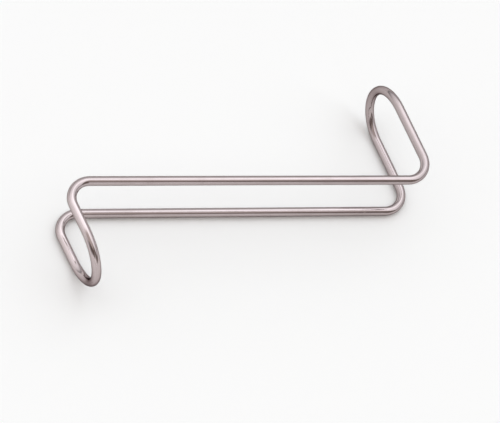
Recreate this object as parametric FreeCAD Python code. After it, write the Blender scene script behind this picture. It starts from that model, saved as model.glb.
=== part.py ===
import FreeCAD, Part

import collections
import math
import os

# Double-ended wire retractor: one length of round stainless rod, bent and welded end to
# end into a closed loop, with the weld ground flush. Two straight rods side by side are
# the handle. At each end both of them turn back over the handle and run on, side by side,
# into a half circle: that is the blade, which lifts the tissue. The two blades face
# opposite ways, and one is longer than the other.
#
# The retractor lies on its side, as it comes to rest on a table, so one handle rod is
# straight above the other. +X runs along the handle to the long blade, +Y is the side
# that the long blade reaches to and +Z is up. The origin is on the table, under the
# middle of the bounding box. All lengths are in millimetres and all angles in degrees.

# Driving dimensions. Each is measured at the rod's centre line.
ROD_DIAMETER = 4.0
ROD_SPACING = 32.0          # from one handle rod to the other, and across each blade
HANDLE_LENGTH = 162.5       # between the two corners where handle and blade lines cross
SHORT_BLADE_LENGTH = 39.0   # from its corner to the middle of its tip
SHORT_BLADE_ANGLE = 70.0    # between the blade and the handle
SHORT_BEND_RADIUS = 8.0     # where the handle turns into the blade
LONG_BLADE_LENGTH = 52.5
LONG_BLADE_ANGLE = 73.5
LONG_BEND_RADIUS = 9.0

# Worked out from them
ROD_RADIUS = ROD_DIAMETER / 2
TIP_RADIUS = ROD_SPACING / 2
LOWER_SIDE = ROD_RADIUS
UPPER_SIDE = LOWER_SIDE + ROD_SPACING

NODE = "bent_rod_loop"
TO_LONG_END = FreeCAD.Vector(1, 0, 0)
TO_LONG_BLADE = FreeCAD.Vector(0, 1, 0)
UP = FreeCAD.Vector(0, 0, 1)

# One end of the retractor, seen from above: the points that its centre line passes
BladeEnd = collections.namedtuple(
    "BladeEnd", "handle_end bend_middle bend_end tip_start tip_middle"
)


def blade_end(corner, to_handle, to_blade, length, angle, bend_radius):
    """The points of one end. The corner is where the straight handle and blade would
    cross, and the bend rounds it with an arc that is tangent to both."""
    half_angle = math.radians(angle) / 2
    along_blade = to_handle * math.cos(2 * half_angle) + to_blade * math.sin(2 * half_angle)
    inward = to_handle * math.cos(half_angle) + to_blade * math.sin(half_angle)
    corner_to_tangent = bend_radius / math.tan(half_angle)
    corner_to_arc = bend_radius / math.sin(half_angle) - bend_radius
    return BladeEnd(
        handle_end=corner + to_handle * corner_to_tangent,
        bend_middle=corner + inward * corner_to_arc,
        bend_end=corner + along_blade * corner_to_tangent,
        tip_start=corner + along_blade * (length - TIP_RADIUS),
        tip_middle=corner + along_blade * length,
    )


def short_end():
    return blade_end(
        TO_LONG_END * (-HANDLE_LENGTH / 2),
        TO_LONG_END,
        -TO_LONG_BLADE,
        SHORT_BLADE_LENGTH,
        SHORT_BLADE_ANGLE,
        SHORT_BEND_RADIUS,
    )


def long_end():
    return blade_end(
        TO_LONG_END * (HANDLE_LENGTH / 2),
        -TO_LONG_END,
        TO_LONG_BLADE,
        LONG_BLADE_LENGTH,
        LONG_BLADE_ANGLE,
        LONG_BEND_RADIUS,
    )


def line(start, end):
    return Part.LineSegment(start, end).toShape()


def arc(start, middle, end):
    return Part.Arc(start, middle, end).toShape()


def blade_side(end, height):
    """The bend and the straight stretch of one blade, at one side of the loop."""
    level = UP * height
    return [
        arc(end.handle_end + level, end.bend_middle + level, end.bend_end + level),
        line(end.bend_end + level, end.tip_start + level),
    ]


def tip(end):
    """The half circle that joins a blade's two sides."""
    middle_height = (LOWER_SIDE + UPPER_SIDE) / 2
    return arc(
        end.tip_start + UP * LOWER_SIDE,
        end.tip_middle + UP * middle_height,
        end.tip_start + UP * UPPER_SIDE,
    )


def handle_rod(near, far, height):
    return line(near.handle_end + UP * height, far.handle_end + UP * height)


def centre_line(near, far):
    """The closed line that the rod follows, starting at the near end of the lower
    handle rod and going once round both blades."""
    edges = [handle_rod(near, far, LOWER_SIDE), handle_rod(near, far, UPPER_SIDE)]
    for end in (near, far):
        edges += blade_side(end, LOWER_SIDE)
        edges += blade_side(end, UPPER_SIDE)
        edges.append(tip(end))
    return Part.Wire(Part.__sortEdges__(edges))


def rod_section(path):
    """The round face that is swept along the path, square to it at its start."""
    first = path.OrderedEdges[0]
    start = first.valueAt(first.FirstParameter)
    direction = first.tangentAt(first.FirstParameter)
    return Part.Face(Part.Wire(Part.Circle(start, direction, ROD_RADIUS).toShape()))


def tight_box(solid):
    """The bounding box that touches the surface itself, also where it is curved."""
    return solid.optimalBoundingBox(False, False)


def centred_on_origin(solid):
    """Moved sideways so that the origin is under the middle of the bounding box."""
    middle = tight_box(solid).Center
    return solid.translated(FreeCAD.Vector(-middle.x, -middle.y, 0))


def bent_rod_loop():
    path = centre_line(short_end(), long_end())
    return centred_on_origin(path.makePipe(rod_section(path)))


def main():
    os.makedirs("parts", exist_ok=True)
    loop = bent_rod_loop()
    loop.exportStep(f"parts/{NODE}.step")
    size = tight_box(loop)
    print(f"{NODE}: {size.XLength:.1f} x {size.YLength:.1f} x {size.ZLength:.1f} mm, "
          f"{loop.Volume:.0f} mm3")


main()
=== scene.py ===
# %% [markdown]
# # A hand-held retractor of polished steel rod
#
# The object is one length of round stainless rod, bent into a closed loop. Two straight
# rods side by side are the handle, and each end of the handle turns back into a rounded
# blade. This lesson sweeps the rod, polishes it and lights it in a small pale studio.
#
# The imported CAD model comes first. Everything after it is made in the same frame, in
# metres, with the table at z = 0.

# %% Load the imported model
import math

import bmesh
import bpy
from mathutils import Matrix, Vector


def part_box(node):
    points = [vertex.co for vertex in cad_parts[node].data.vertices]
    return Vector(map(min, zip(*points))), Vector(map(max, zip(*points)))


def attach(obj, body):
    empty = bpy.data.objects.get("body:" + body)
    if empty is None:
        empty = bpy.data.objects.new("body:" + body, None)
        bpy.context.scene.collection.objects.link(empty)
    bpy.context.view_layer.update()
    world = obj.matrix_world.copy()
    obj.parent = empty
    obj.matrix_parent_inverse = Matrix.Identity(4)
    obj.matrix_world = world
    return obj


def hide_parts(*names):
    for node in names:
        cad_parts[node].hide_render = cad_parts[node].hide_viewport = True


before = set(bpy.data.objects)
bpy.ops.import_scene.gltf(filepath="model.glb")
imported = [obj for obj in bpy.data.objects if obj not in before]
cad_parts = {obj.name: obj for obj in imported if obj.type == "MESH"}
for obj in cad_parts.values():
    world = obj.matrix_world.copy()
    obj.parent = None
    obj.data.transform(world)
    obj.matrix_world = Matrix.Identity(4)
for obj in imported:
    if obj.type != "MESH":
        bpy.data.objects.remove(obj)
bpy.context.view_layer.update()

# %% [markdown]
# ## The rod's sizes
#
# A real one is made on a wire bender, so its sizes are those that a bender sets: how
# thick the rod is, how long each straight stretch is and how tight each bend is. They
# are the CAD model's own sizes. A blade's length is counted from the corner where the
# straight handle and blade would meet, and each bend starts a little before its corner.

# %% Sizes of the rod
MM = 0.001
ROD_RADIUS = 2.0 * MM
ROD_SPACING = 32.0 * MM
HANDLE_LENGTH = 162.5 * MM
SHORT_BLADE_LENGTH = 39.0 * MM
SHORT_BLADE_ANGLE = math.radians(70.0)
SHORT_BEND_RADIUS = 8.0 * MM
LONG_BLADE_LENGTH = 52.5 * MM
LONG_BLADE_ANGLE = math.radians(73.5)
LONG_BEND_RADIUS = 9.0 * MM
TIP_RADIUS = ROD_SPACING / 2


def corner_to_bend(bend_radius, blade_angle):
    """How far before its corner a bend starts."""
    return bend_radius / math.tan(blade_angle / 2)


short_corner = corner_to_bend(SHORT_BEND_RADIUS, SHORT_BLADE_ANGLE)
long_corner = corner_to_bend(LONG_BEND_RADIUS, LONG_BLADE_ANGLE)
handle_run = HANDLE_LENGTH - short_corner - long_corner
short_run = SHORT_BLADE_LENGTH - short_corner - TIP_RADIUS
long_run = LONG_BLADE_LENGTH - long_corner - TIP_RADIUS
print(f"straight stretches in mm: handle {handle_run / MM:.1f}, "
      f"short blade {short_run / MM:.1f}, long blade {long_run / MM:.1f}")

# %% [markdown]
# ## The bending table
#
# The loop could be drawn as a curve with a bevel, or as a path that a section follows.
# Here it is made as the bender makes it: feed so much rod, bend it so far, feed again.
# Each row says how much rod is fed, then the radius, the angle and the direction of the
# bend after it. Directions are the rod's own, so they turn with it: "side" is to its
# left at the start and "over" is up. Six bends bring the rod back to where it began.
#
# The ends are welded and ground flush. The weld is on the lower handle rod, close to the
# short blade, where the upper side of that blade covers it in the photograph's view.

# %% The bending table, from the weld once round the loop
WELD_FROM_BEND = 3.9 * MM
WELD_REACH = 3.6 * MM
SIDE, OTHER_SIDE, OVER = (1, 0), (-1, 0), (0, 1)
short_turn = math.pi - SHORT_BLADE_ANGLE
long_turn = math.pi - LONG_BLADE_ANGLE

BENDING_TABLE = [
    (handle_run - WELD_FROM_BEND, LONG_BEND_RADIUS, long_turn, SIDE),
    (long_run, TIP_RADIUS, math.pi, OVER),
    (long_run, LONG_BEND_RADIUS, long_turn, SIDE),
    (handle_run, SHORT_BEND_RADIUS, short_turn, OTHER_SIDE),
    (short_run, TIP_RADIUS, math.pi, OVER),
    (short_run, SHORT_BEND_RADIUS, short_turn, OTHER_SIDE),
]
rod_length = WELD_FROM_BEND + sum(feed + radius * angle
                                  for feed, radius, angle, _ in BENDING_TABLE)
print(f"rod cut to {rod_length / MM:.1f} mm")

# %% [markdown]
# ## Following the rod
#
# A station is one place on the rod's centre line, with the three directions of the rod
# there: ahead, side and over. Feeding moves a station ahead. Bending turns all three
# directions about the middle of the bend, so the section never twists on its way round,
# and it arrives back at the weld as it left. Stations are close together in the bends,
# where the shape needs them. Each one also keeps how far along the rod it is and how
# fully it is bent, from 0 where a bend begins or ends to 1 in its middle.

# %% Stations along the centre line
STRAIGHT_STEP = 1.0 * MM
BEND_STEP = math.radians(2.5)
BEND_ONSET = 0.5


def feed_rod(station, length):
    """The stations of a straight stretch, without the one that it starts from."""
    steps = max(1, round(length / STRAIGHT_STEP))
    return [dict(station, at=station["at"] + station["ahead"] * (length * i / steps),
                 along=station["along"] + length * i / steps, bent=0.0, inward=None)
            for i in range(1, steps + 1)]


def bend_rod(station, radius, angle, direction):
    """The stations of one bend, without the one that it starts from."""
    inward = station["side"] * direction[0] + station["over"] * direction[1]
    middle = station["at"] + inward * radius
    axis = station["ahead"].cross(inward)
    steps = math.ceil(angle / BEND_STEP)
    stations = []
    for i in range(1, steps + 1):
        turn = Matrix.Rotation(angle * i / steps, 3, axis)
        stations.append({
            "at": middle - turn @ inward * radius,
            "ahead": turn @ station["ahead"],
            "side": turn @ station["side"],
            "over": turn @ station["over"],
            "along": station["along"] + radius * angle * i / steps,
            "bent": math.sin(math.pi * i / steps) ** BEND_ONSET if i < steps else 0.0,
            "inward": turn @ inward,
        })
    return stations


weld = {"at": Vector((-HANDLE_LENGTH / 2 + short_corner + WELD_FROM_BEND, 0.0, ROD_RADIUS)),
        "ahead": Vector((1, 0, 0)), "side": Vector((0, 1, 0)), "over": Vector((0, 0, 1)),
        "along": 0.0, "bent": 0.0, "inward": None}
stations = [weld]
for feed, radius, angle, direction in BENDING_TABLE:
    stations += feed_rod(stations[-1], feed)
    stations += bend_rod(stations[-1], radius, angle, direction)
stations += feed_rod(stations[-1], WELD_FROM_BEND)
closing_gap = (stations[-1]["at"] - weld["at"]).length
print(f"{len(stations)} stations, and the rod's ends meet within {closing_gap / MM:.6f} mm")

# %% [markdown]
# ## Sweeping the section
#
# At each station stands a ring of points, and the rings are joined into one closed skin.
# A bent rod doesn't stay perfectly round: the outside of a bend is drawn a little flat.
# That is a few hundredths of a millimetre, but a mirror-like surface shows it. So is the
# shallow waist where the weld was dressed with a belt.
#
# Each face corner also remembers where on the rod it lies: how far along, and where
# across the section, in millimetres. The polish reads these, so its grain follows the
# rod round every bend. They are kept on corners, because at the weld two faces share
# their points but not their place along the rod.
#
# The corners of each face are listed counter-clockwise as seen from outside the rod, so
# that the skin faces outwards. A skin that faces inwards renders much the same here, but
# it vanishes in viewers that draw front faces only, and its bumps turn inside out. The
# volume shows it: it comes out negative.

# %% Sweep the rod into a mesh
SECTION_SIDES = 64
DRAWN_FLAT = 0.03
DRESSED_AWAY = 0.012
PLACE_ON_ROD = "place_on_rod"


def section_point(station, angle):
    """A point of the ring, as its offset from the centre line."""
    out = station["side"] * math.cos(angle) + station["over"] * math.sin(angle)
    from_weld = min(station["along"], rod_length - station["along"])
    dressed = math.cos(math.pi / 2 * min(1.0, from_weld / WELD_REACH)) ** 2
    reach = ROD_RADIUS * (1 - DRESSED_AWAY * dressed)
    if station["inward"] is not None:
        outside = max(0.0, -out.dot(station["inward"]))
        reach *= 1 - DRAWN_FLAT * station["bent"] * outside ** 2
    return out * reach


ring_angles = [2 * math.pi * (k + 0.5) / SECTION_SIDES for k in range(SECTION_SIDES)]
rings = stations[:-1]
points = [station["at"] + section_point(station, angle)
          for station in rings for angle in ring_angles]
faces, places = [], []
for i, station in enumerate(rings):
    next_ring = (i + 1) % len(rings)
    for k in range(SECTION_SIDES):
        next_k = (k + 1) % SECTION_SIDES
        faces.append((i * SECTION_SIDES + k, i * SECTION_SIDES + next_k,
                      next_ring * SECTION_SIDES + next_k, next_ring * SECTION_SIDES + k))
        for end, corner in ((station, k), (station, next_k),
                            (stations[i + 1], next_k), (stations[i + 1], k)):
            places.append((end["along"] / MM,
                           ROD_RADIUS / MM * math.cos(ring_angles[corner]),
                           ROD_RADIUS / MM * math.sin(ring_angles[corner])))

low = [min(p[axis] for p in points) for axis in range(3)]
high = [max(p[axis] for p in points) for axis in range(3)]
to_frame = Vector((-(low[0] + high[0]) / 2, -(low[1] + high[1]) / 2, 0.0))
rod_mesh = bpy.data.meshes.new("bent_rod")
rod_mesh.from_pydata([p + to_frame for p in points], [], faces)
rod_mesh.polygons.foreach_set("use_smooth", [True] * len(faces))
place_layer = rod_mesh.attributes.new(PLACE_ON_ROD, "FLOAT_VECTOR", "CORNER")
place_layer.data.foreach_set("vector", [number for place in places for number in place])
rod_mesh.update()
measured = bmesh.new()
measured.from_mesh(rod_mesh)
rod_volume = measured.calc_volume(signed=True)
measured.free()
print(f"{len(faces)} faces, {(high[0] - low[0]) / MM:.2f} x {(high[1] - low[1]) / MM:.2f} x "
      f"{(high[2] - low[2]) / MM:.2f} mm, {rod_volume / MM ** 3:.0f} cubic mm")

# %% [markdown]
# ## The rod takes the CAD solid's place
#
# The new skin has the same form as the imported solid, only finer, so it stands for it in
# pictures, and the solid stays for the physics. It rides on the one body there is.

# %% Put the rod in the scene
rod = bpy.data.objects.new("bent_rod", rod_mesh)
bpy.context.scene.collection.objects.link(rod)
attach(rod, "root")
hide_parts("bent_rod_loop")
solid_low, solid_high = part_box("bent_rod_loop")
widest = max(abs(v.co[axis] - min(max(v.co[axis], solid_low[axis]), solid_high[axis]))
             for v in rod_mesh.vertices for axis in range(3))
print(f"it reaches {widest / MM:.3f} mm past the packed solid's box")

# %% [markdown]
# ## Small helpers for nodes
#
# Materials and light are both built from nodes. One helper adds a node and sets its
# properties and its inputs in one line, where an input is either a number or the output
# of an earlier node. That keeps the later cells about what the nodes do.

# %% A helper that adds a node and connects it
def add_node(tree, kind, inputs=None, **properties):
    """Adds a node. inputs gives, by name or number, a value or an output to link."""
    node = tree.nodes.new(kind)
    for name, value in properties.items():
        setattr(node, name, value)
    for name, value in (inputs or {}).items():
        if isinstance(value, bpy.types.NodeSocket):
            tree.links.new(value, node.inputs[name])
        else:
            node.inputs[name].default_value = value
    return node


def calculate(tree, operation, *values):
    """The result of a Math node."""
    node = add_node(tree, "ShaderNodeMath", dict(enumerate(values)), operation=operation)
    return node.outputs["Value"]


# A Mix node has sockets of the same names for numbers, vectors and colours. These are
# the places of the factor and of the colour ones.
MIX_FACTOR, MIX_FIRST_COLOUR, MIX_SECOND_COLOUR = 0, 6, 7
MIX_COLOUR_RESULT = 2


def blend(tree, factor, first, second):
    """The colour that lies this far from the first one to the second one."""
    node = add_node(tree, "ShaderNodeMix", {MIX_FACTOR: factor, MIX_FIRST_COLOUR: first,
                                            MIX_SECOND_COLOUR: second}, data_type="RGBA")
    return node.outputs[MIX_COLOUR_RESULT]


def scaled(tree, vector, factors):
    """A vector or a colour with each of its parts multiplied."""
    node = add_node(tree, "ShaderNodeVectorMath", {0: vector, 1: factors}, operation="MULTIPLY")
    return node.outputs["Vector"]


def remap(tree, value, from_low, from_high, to_low, to_high, smooth=False):
    """A value moved from one range to another."""
    node = add_node(tree, "ShaderNodeMapRange",
                    {"Value": value, "From Min": from_low, "From Max": from_high,
                     "To Min": to_low, "To Max": to_high},
                    interpolation_type="SMOOTHSTEP" if smooth else "LINEAR")
    return node.outputs["Result"]


def noise(tree, vector, scale, detail, roughness=0.5):
    """A noise pattern's grey value."""
    node = add_node(tree, "ShaderNodeTexNoise",
                    {"Vector": vector, "Scale": scale, "Detail": detail,
                     "Roughness": roughness})
    return node.outputs["Fac"]


print("node helpers are ready")

# %% [markdown]
# ## Polished steel
#
# Stainless rod is drawn through a die and then buffed along its length. Four things make
# it look real at different sizes: long faint lines left by the die, finer grain from the
# buffing wheel, a slow waviness under both, and a little haze where hands and cloths have
# been. Each is a noise pattern that reads the place on the rod, so it follows the bends,
# and is stretched along the rod as far as its marks are long.
#
# At the weld the rod was ground across. That took the other marks away and turned the
# grain, which also hides the place where the patterns of the rod's two ends meet.

# %% Polished steel: where the grain and the haze are
steel = bpy.data.materials.new("polished_steel")
steel.use_nodes = True
steel_tree = steel.node_tree
steel_tree.nodes.clear()

place_node = add_node(steel_tree, "ShaderNodeAttribute", attribute_name=PLACE_ON_ROD)
place = place_node.outputs["Vector"]
along = add_node(steel_tree, "ShaderNodeSeparateXYZ", {"Vector": place}).outputs["X"]


def marks(length, width, detail, roughness=0.5):
    """Noise whose marks are about this long and this wide on the rod, in millimetres."""
    stretched = scaled(steel_tree, place, (1 / length, 1 / width, 1 / width))
    return noise(steel_tree, stretched, 1.0, detail, roughness)


GRAIN_LENGTH, GRAIN_WIDTH, WELD_GRAIN_LENGTH = 14.0, 0.16, 4.0
GRAIN_DETAIL, GRAIN_ROUGHNESS = 3.0, 0.6
DIE_LINE_LENGTH, DIE_LINE_WIDTH = 70.0, 0.5
WAVE_LENGTH, WAVE_WIDTH = 9.0, 2.6
HAZE_PATCH = 11.0
# the noise values between which a line or a patch comes in, and the middle one
DIE_LINE_FROM, DIE_LINE_TO = 0.40, 0.62
HAZE_FROM, HAZE_TO = 0.45, 0.75
NOISE_MIDDLE = 0.5
# the share of the weld's reach in which nothing but its own grain is left
WELD_CORE = 0.4

weld_reach = WELD_REACH / MM
from_weld = calculate(steel_tree, "MINIMUM", along,
                      calculate(steel_tree, "SUBTRACT", rod_length / MM, along))
at_weld = remap(steel_tree, from_weld, WELD_CORE * weld_reach, weld_reach, 1.0, 0.0,
                smooth=True)


def at_weld_instead(value, weld_value):
    """A pattern that turns into another one, or into a plain value, at the weld."""
    node = add_node(steel_tree, "ShaderNodeMix",
                    {"Factor": at_weld, "A": value, "B": weld_value}, data_type="FLOAT")
    return node.outputs["Result"]


grain = at_weld_instead(marks(GRAIN_LENGTH, GRAIN_WIDTH, GRAIN_DETAIL, GRAIN_ROUGHNESS),
                        marks(GRAIN_WIDTH, WELD_GRAIN_LENGTH, GRAIN_DETAIL, GRAIN_ROUGHNESS))
waviness = at_weld_instead(marks(WAVE_LENGTH, WAVE_WIDTH, detail=1.0), NOISE_MIDDLE)
die_lines = at_weld_instead(marks(DIE_LINE_LENGTH, DIE_LINE_WIDTH, detail=2.0), DIE_LINE_FROM)
haze = marks(HAZE_PATCH, HAZE_PATCH, detail=4.0, roughness=0.55)
haze = remap(steel_tree, haze, HAZE_FROM, HAZE_TO, 0.0, 1.0, smooth=True)
haze = at_weld_instead(haze, 0.0)
print("grain lines about", GRAIN_WIDTH, "mm wide and", GRAIN_LENGTH, "mm long")

# %% [markdown]
# Hair scratches are the edges between the cells of a stretched Voronoi pattern, kept
# only where a second, slower noise lets them through, so that they come in short
# strokes instead of a net.

# %% Polished steel: hair scratches
SCRATCH_CELLS = (0.35, 0.9, 0.9)
SCRATCH_WIDTH = 0.012
SCRATCH_PATCH = 1.7
SCRATCH_FROM, SCRATCH_TO = 0.52, 0.60
cells = add_node(steel_tree, "ShaderNodeTexVoronoi",
                 {"Vector": scaled(steel_tree, place, SCRATCH_CELLS), "Scale": 1.0,
                  "Randomness": 1.0},
                 feature="DISTANCE_TO_EDGE")
stroke = remap(steel_tree, cells.outputs["Distance"], 0.0, SCRATCH_WIDTH, 1.0, 0.0)
patches = marks(SCRATCH_PATCH, SCRATCH_PATCH, detail=2.0)
stroke_gate = remap(steel_tree, patches, SCRATCH_FROM, SCRATCH_TO, 0.0, 1.0)
scratch = calculate(steel_tree, "MULTIPLY", stroke, stroke_gate)
print("hair scratches come in patches of", SCRATCH_PATCH, "mm")

# %% [markdown]
# Each blade's colour is scaled with painted light and shade: the short blade is painted
# lighter, so that it is the brightest part, and the long one is painted slightly darker
# than the handle. A mask picks out each blade by how far along the rod its tip is, and
# fades in the bends.

# %% Polished steel: painted light and shade on the blades
SHORT_BLADE_PAINTED_LIGHT = 0.15
LONG_BLADE_PAINTED_SHADE = -0.05
short_bend_arc = SHORT_BEND_RADIUS * short_turn
long_bend_arc = LONG_BEND_RADIUS * long_turn
half_tip = TIP_RADIUS * math.pi / 2
long_tip_at = handle_run - WELD_FROM_BEND + long_bend_arc + long_run + half_tip
short_tip_at = rod_length - WELD_FROM_BEND - short_bend_arc - short_run - half_tip


def blade_mask(tip_at, run, bend_arc):
    """1 on one blade's sides and tip, fading to 0 by the middle of its bends."""
    from_tip = calculate(steel_tree, "SUBTRACT", along, tip_at / MM)
    from_tip = calculate(steel_tree, "ABSOLUTE", from_tip)
    blade_end = (half_tip + run) / MM
    bend_middle = blade_end + bend_arc / 2 / MM
    return remap(steel_tree, from_tip, blade_end, bend_middle, 1.0, 0.0, smooth=True)


on_short_blade = blade_mask(short_tip_at, short_run, short_bend_arc)
on_long_blade = blade_mask(long_tip_at, long_run, long_bend_arc)
# painted light and shade: the short blade's colour is scaled up, the long blade's down
blade_painted_light_and_shade = calculate(steel_tree, "MULTIPLY_ADD", on_short_blade, SHORT_BLADE_PAINTED_LIGHT, 1.0)
blade_painted_light_and_shade = calculate(steel_tree, "MULTIPLY_ADD", on_long_blade, LONG_BLADE_PAINTED_SHADE, blade_painted_light_and_shade)
print(f"blade tips {long_tip_at / MM:.1f} mm and {short_tip_at / MM:.1f} mm along the rod")

# %% [markdown]
# The patterns meet in one Principled shader. Its base colour is what bare stainless
# reflects, a slightly warm grey. Haze and the die's lines take it a little towards a
# darker grey, and the blades' painted light and shade make it lighter on the short blade
# and darker on the long one. The edge tint dims what the rod reflects at a grazing angle,
# which gives it the thin dark outline that polished rod has against white.
#
# Roughness is low, as on a buffed instrument, and rises in haze, scratches and at the
# weld. Two bumps shape the reflections: a slow one for the waviness, and a very shallow
# one for the grain, the die's lines and the scratches. In that one the lines stand out
# three times as much as the grain does, and the scratches are cut in.

# %% Polished steel: the shader
STEEL_BRIGHT = (0.470, 0.402, 0.402, 1.0)
STEEL_HAZY = (0.430, 0.364, 0.361, 1.0)
EDGE_TINT = (0.22, 0.20, 0.20, 1.0)
DIE_LINE_SHARE = 0.8
SMOOTHEST = 0.09
ROUGHER_IN = {"grain": 0.06, "haze": 0.06, "weld": 0.05, "scratch": 0.15}
GRAIN_FROM, GRAIN_TO = 0.3, 0.7
WAVE_HEIGHT = 0.008 * MM
GRAIN_HEIGHT = 0.0015 * MM
DIE_LINE_RISE = 3.0
SCRATCH_RISE = -0.8

in_die_line = remap(steel_tree, die_lines, DIE_LINE_FROM, DIE_LINE_TO, 0.0, 1.0)
dulled = calculate(steel_tree, "MULTIPLY_ADD", in_die_line, DIE_LINE_SHARE, haze)
colour = blend(steel_tree, dulled, STEEL_BRIGHT, STEEL_HAZY)
# the blades' painted light and shade scale the steel colour here
colour = scaled(steel_tree, colour, blade_painted_light_and_shade)

rough = remap(steel_tree, grain, GRAIN_FROM, GRAIN_TO,
              SMOOTHEST, SMOOTHEST + ROUGHER_IN["grain"])
for mask, where in ((haze, "haze"), (at_weld, "weld"), (scratch, "scratch")):
    rough = calculate(steel_tree, "MULTIPLY_ADD", mask, ROUGHER_IN[where], rough)

wave_bump = add_node(steel_tree, "ShaderNodeBump",
                     {"Height": waviness, "Strength": 1.0, "Distance": WAVE_HEIGHT})
fine_height = calculate(steel_tree, "MULTIPLY_ADD", scratch, SCRATCH_RISE, grain)
fine_height = calculate(steel_tree, "MULTIPLY_ADD", die_lines, DIE_LINE_RISE, fine_height)
grain_bump = add_node(steel_tree, "ShaderNodeBump",
                      {"Height": fine_height, "Strength": 1.0, "Distance": GRAIN_HEIGHT,
                       "Normal": wave_bump.outputs["Normal"]})
steel_shader = add_node(steel_tree, "ShaderNodeBsdfPrincipled",
                        {"Base Color": colour, "Metallic": 1.0, "Roughness": rough,
                         "Specular Tint": EDGE_TINT, "Normal": grain_bump.outputs["Normal"]})
add_node(steel_tree, "ShaderNodeOutputMaterial", {"Surface": steel_shader.outputs["BSDF"]})
rod_mesh.materials.append(steel)
print("steel roughness from", SMOOTHEST, "up")

# %% [markdown]
# ## The floor
#
# The retractor lies on a plain pale table. One very large square keeps its edges out of
# every view. Its colour is written as it should look, and it has no gloss of its own.

# %% A plain pale floor
FLOOR_REACH = 12.0
FLOOR_COLOUR = (0.944, 0.944, 0.932, 1.0)
floor_mesh = bpy.data.meshes.new("floor")
floor_mesh.from_pydata([(-FLOOR_REACH, -FLOOR_REACH, 0), (FLOOR_REACH, -FLOOR_REACH, 0),
                        (FLOOR_REACH, FLOOR_REACH, 0), (-FLOOR_REACH, FLOOR_REACH, 0)],
                       [], [(0, 1, 2, 3)])
floor = bpy.data.objects.new("floor", floor_mesh)
bpy.context.scene.collection.objects.link(floor)

pale = bpy.data.materials.new("pale_table")
pale.use_nodes = True
pale_shader = pale.node_tree.nodes["Principled BSDF"]
pale_shader.inputs["Base Color"].default_value = FLOOR_COLOUR
pale_shader.inputs["Roughness"].default_value = 1.0
pale_shader.inputs["Specular IOR Level"].default_value = 0.0
floor_mesh.materials.append(pale)
print("floor colour", FLOOR_COLOUR[:3])

# %% [markdown]
# ## Studio light
#
# Polished metal shows what stands round it, so the light is the other half of the
# finish. The photograph's rods are bright along the top and have thin dark lines beside
# the bright ones. That is a big soft tent overhead with one brighter panel in it, a long
# low fill in front and one at the short blade's end, with dark gaps between them where
# the camera stands.
#
# The whole studio is painted on the world by direction, since lamps of this size would
# have to stand in the picture. The tent is a ramp from the horizon to straight overhead,
# and slightly cool. Each panel is a soft-edged rectangle in some direction. The dark gaps
# are panels too, and slightly warm, as the dark lines on the photographed steel are.
# Since there are several of them, a panel is a node group with its own inputs.

# %% A soft panel in some direction
panel_group = bpy.data.node_groups.new("soft_panel", "ShaderNodeTree")
face = panel_group.interface
for name, kind in (("Direction", "NodeSocketVector"), ("Panel Middle", "NodeSocketVector"),
                   ("Panel Across", "NodeSocketVector"), ("Panel Upright", "NodeSocketVector"),
                   ("Half Width", "NodeSocketFloat"), ("Half Height", "NodeSocketFloat"),
                   ("Edge Softness", "NodeSocketFloat")):
    face.new_socket(name, in_out="INPUT", socket_type=kind)
face.new_socket("Mask", in_out="OUTPUT", socket_type="NodeSocketFloat")
asked = add_node(panel_group, "NodeGroupInput").outputs


def dot(tree, first, second):
    """How far one direction points along another one."""
    node = add_node(tree, "ShaderNodeVectorMath", {0: first, 1: second},
                    operation="DOT_PRODUCT")
    return node.outputs["Value"]


def within(tree, sideways, facing, half_size, softness):
    """1 inside half_size of the panel's middle, and 0 outside, with a soft edge."""
    angle = calculate(tree, "ARCTAN2", calculate(tree, "ABSOLUTE", sideways), facing)
    inner = calculate(tree, "SUBTRACT", half_size, softness)
    outer = calculate(tree, "ADD", half_size, softness)
    return remap(tree, angle, inner, outer, 1.0, 0.0, smooth=True)


facing = dot(panel_group, asked["Direction"], asked["Panel Middle"])
across = within(panel_group, dot(panel_group, asked["Direction"], asked["Panel Across"]),
                facing, asked["Half Width"], asked["Edge Softness"])
upright = within(panel_group, dot(panel_group, asked["Direction"], asked["Panel Upright"]),
                 facing, asked["Half Height"], asked["Edge Softness"])
mask = calculate(panel_group, "MULTIPLY", across, upright)
add_node(panel_group, "NodeGroupOutput", {"Mask": mask})
print("panel inputs:", [s.name for s in face.items_tree if s.in_out == "INPUT"])

# %% [markdown]
# These are the studio's sizes, back to front: the tent, its panels and the backdrop. All
# angles are in degrees. An azimuth is counted from +X towards +Y, and an elevation up
# from the table. A tilt turns a panel about its own middle, and the softness is how far
# its edge fades to either side. The brightness is plain: the floor comes out about as
# its colour is written.

# %% Where the tent, the panels and the backdrop are
# elevation and brightness of each stop of the ramp
TENT = [(0, 0.30), (11, 0.30), (17, 0.55), (27, 1.02), (42, 1.32), (62, 1.62), (90, 2.45)]
TENT_PEAK = 2.5
TENT_TINT = (0.985, 1.005, 1.03)
# name, azimuth, elevation, tilt, half width, half height, softness, colour
PANELS = [
    ("key", 58, 67, -8, 9.5, 27.5, 6, (2.09, 2.18, 2.25, 1)),
    ("end_fill", 172.5, 20, -15, 24, 12.5, 12.5, (1.22, 1.22, 1.22, 1)),
    ("front_fill", -99.7, 15.8, 3.4, 28, 14.5, 3, (1.11, 1.11, 1.11, 1)),
    ("dark_gap_right", -49.7, 18.5, 13.4, 16.9, 46.3, 3, (0.26, 0.22, 0.20, 1)),
    ("dark_gap_camera", -125.3, 62, -26, 26.7, 34, 11.5, (0.70, 0.64, 0.61, 1)),
    ("dark_gap_left", -113.6, 34.4, 9.3, 29, 14.1, 5.2, (0.19, 0.155, 0.14, 1)),
]
BACKDROP_TOP = (7.5, 10.5)
BACKDROP_COLOUR = (0.965, 0.966, 0.964, 1)
print(len(PANELS), "panels in the tent:", [panel[0] for panel in PANELS])

# %% [markdown]
# The studio is painted from back to front, since each panel covers what is behind it.
#
# The last layer is a low pale band all round, as light as the table. It is the backdrop:
# a view from the side runs off the table into it without an edge. The tent stays dim
# just above it, which draws the thin dark lines along the rods.

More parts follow.
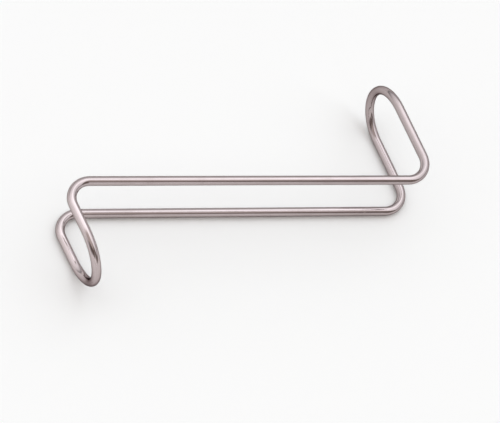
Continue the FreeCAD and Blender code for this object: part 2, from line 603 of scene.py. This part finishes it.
# %% Paint the studio on the world
world = bpy.data.worlds.new("studio")
bpy.context.scene.world = world
world.use_nodes = True
sky = world.node_tree
sky.nodes.clear()
direction = add_node(sky, "ShaderNodeTexCoord").outputs["Generated"]
height = add_node(sky, "ShaderNodeSeparateXYZ", {"Vector": direction}).outputs["Z"]
ramp = add_node(sky, "ShaderNodeValToRGB", {"Fac": height})
stops = ramp.color_ramp.elements
while len(stops) < len(TENT):
    stops.new(0.5)  # anywhere, since the next lines place it
for stop, (elevation, brightness) in zip(stops, TENT):
    stop.position = math.sin(math.radians(elevation))
    stop.color = (brightness / TENT_PEAK,) * 3 + (1,)
light = scaled(sky, ramp.outputs["Color"], [TENT_PEAK * part for part in TENT_TINT])

for name, azimuth, elevation, tilt, half_width, half_height, softness, panel_colour in PANELS:
    turn = Matrix.Rotation(math.radians(azimuth), 3, "Z") @ \
        Matrix.Rotation(math.radians(-elevation), 3, "Y") @ \
        Matrix.Rotation(math.radians(tilt), 3, "X")
    panel = add_node(sky, "ShaderNodeGroup",
                     {"Direction": direction,
                      "Panel Middle": turn @ Vector((1, 0, 0)),
                      "Panel Across": turn @ Vector((0, 1, 0)),
                      "Panel Upright": turn @ Vector((0, 0, 1)),
                      "Half Width": math.radians(half_width),
                      "Half Height": math.radians(half_height),
                      "Edge Softness": math.radians(softness)},
                     node_tree=panel_group, name=name)
    light = blend(sky, panel.outputs["Mask"], light, panel_colour)

backdrop_low, backdrop_high = (math.sin(math.radians(angle)) for angle in BACKDROP_TOP)
backdrop = remap(sky, height, backdrop_low, backdrop_high, 1.0, 0.0, smooth=True)
light = blend(sky, backdrop, light, BACKDROP_COLOUR)

background = add_node(sky, "ShaderNodeBackground", {"Color": light, "Strength": 1.0})
add_node(sky, "ShaderNodeOutputWorld", {"Surface": background.outputs["Background"]})
print("the studio is painted in", len(sky.nodes), "nodes")

# %% [markdown]
# ## The camera
#
# The photograph looks down on the retractor from the side of its short blade, through a
# long lens, and is turned so that the handle lies level. The angles, the distance and
# the lens come from matching the rod's centre line to the photograph.

# %% The camera
AIM = Vector((1.294, -13.802, 18.0)) * MM
AZIMUTH, ELEVATION, ROLL = (math.radians(angle) for angle in (-34.425, 61.029, 30.471))
DISTANCE = 730.78 * MM
PICTURE_WIDTH = 500
FOCAL_LENGTH_IN_PIXELS = 1715.15
back = Vector((math.sin(AZIMUTH) * math.cos(ELEVATION),
               -math.cos(AZIMUTH) * math.cos(ELEVATION), math.sin(ELEVATION)))
level_right = Vector((math.cos(AZIMUTH), math.sin(AZIMUTH), 0))
level_up = back.cross(level_right)
right = level_right * math.cos(ROLL) + level_up * math.sin(ROLL)
up = level_up * math.cos(ROLL) - level_right * math.sin(ROLL)

camera_data = bpy.data.cameras.new("camera")
camera_data.sensor_fit = "HORIZONTAL"
camera_data.lens = camera_data.sensor_width * FOCAL_LENGTH_IN_PIXELS / PICTURE_WIDTH
camera_data.clip_start = 10 * MM
camera = bpy.data.objects.new("camera", camera_data)
bpy.context.scene.collection.objects.link(camera)
turn = Matrix((right, up, back)).transposed()
camera.matrix_world = Matrix.Translation(AIM + back * DISTANCE) @ turn.to_4x4()
bpy.context.scene.camera = camera
bpy.context.scene.view_settings.view_transform = "Standard"
print(f"lens {camera_data.lens:.1f} mm, camera at {tuple(round(v, 3) for v in camera.location)}")
